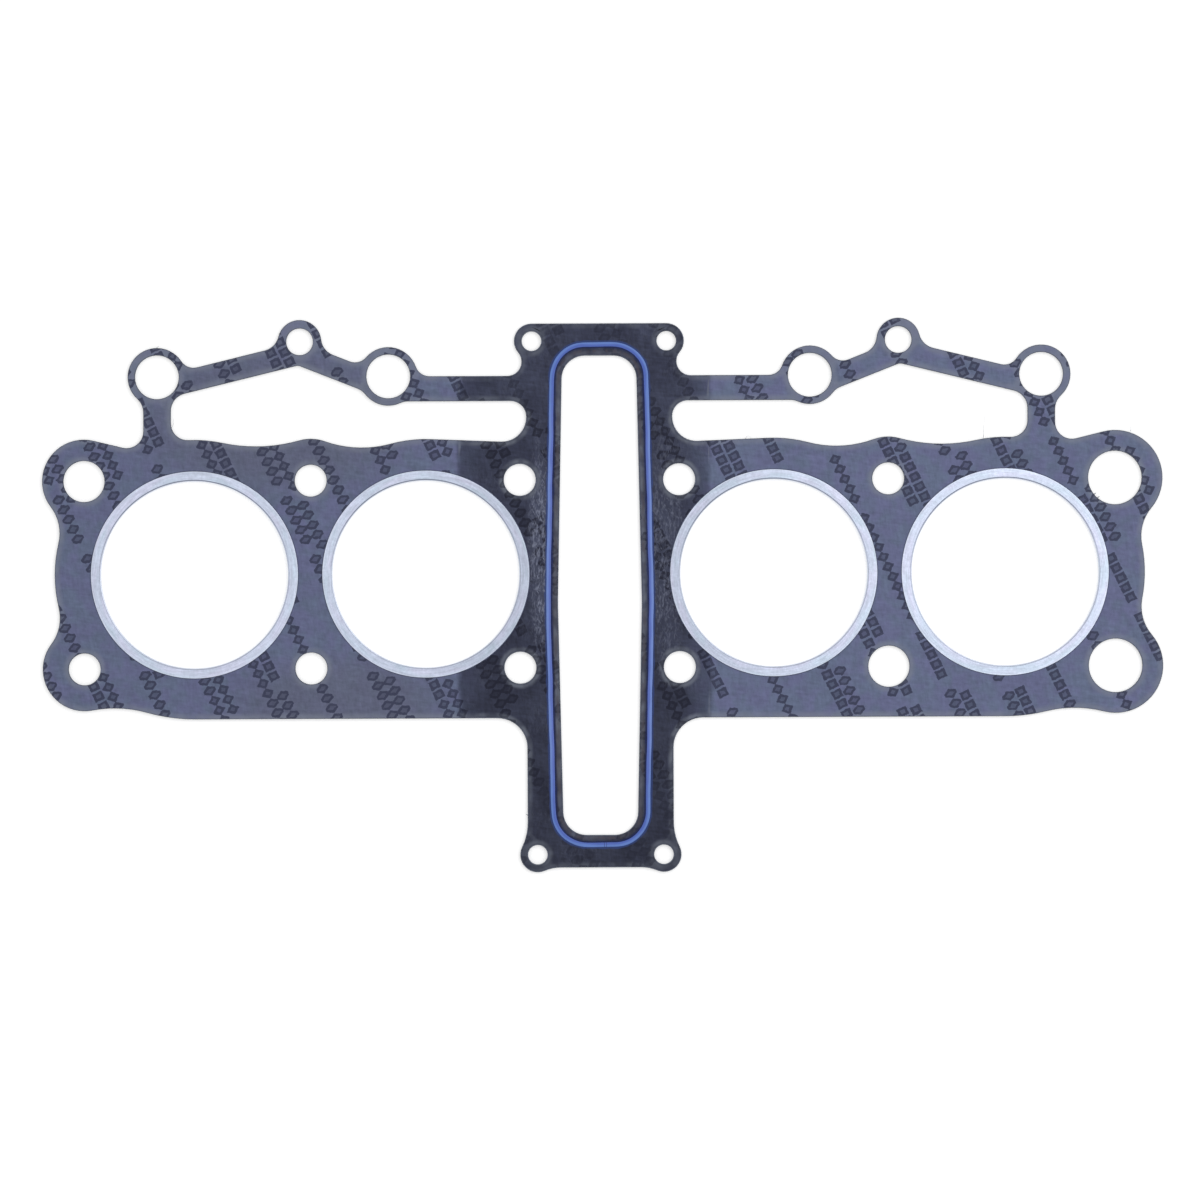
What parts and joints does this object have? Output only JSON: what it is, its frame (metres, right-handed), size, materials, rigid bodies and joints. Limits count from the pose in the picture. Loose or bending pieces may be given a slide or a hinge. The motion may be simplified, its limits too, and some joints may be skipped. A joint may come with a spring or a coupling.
{
  "type": "cylinder head gasket",
  "caption": "Flat composite head gasket for an in-line engine, with metal fire rings, a central chain tunnel edged by a silicone bead, and slender oil arms.",
  "frame": {"origin": "centre of the four inner stud holes, half-way through the sheet's thickness", "axes": "+X along the row of bores towards the end with the two wide oil ports, +Y towards the oil arms, +Z out of the upper face"},
  "size_m": [0.3864, 0.1908, 0.0016],
  "materials": {
    "facing": "matte pressed fibre, blue-grey",
    "ring_metal": "finely brushed, silvery",
    "dark_coat": "satin, nearly black blue",
    "silicone": "soft satin, mid blue"
  },
  "bodies": {
    "root": {"sheet": "facing", "fire_ring_1": "ring_metal", "fire_ring_2": "ring_metal", "fire_ring_3": "ring_metal", "fire_ring_4": "ring_metal", "coat_upper": "dark_coat", "coat_lower": "dark_coat", "bead_upper": "silicone", "bead_lower": "silicone"}
  },
  "joints": []
}
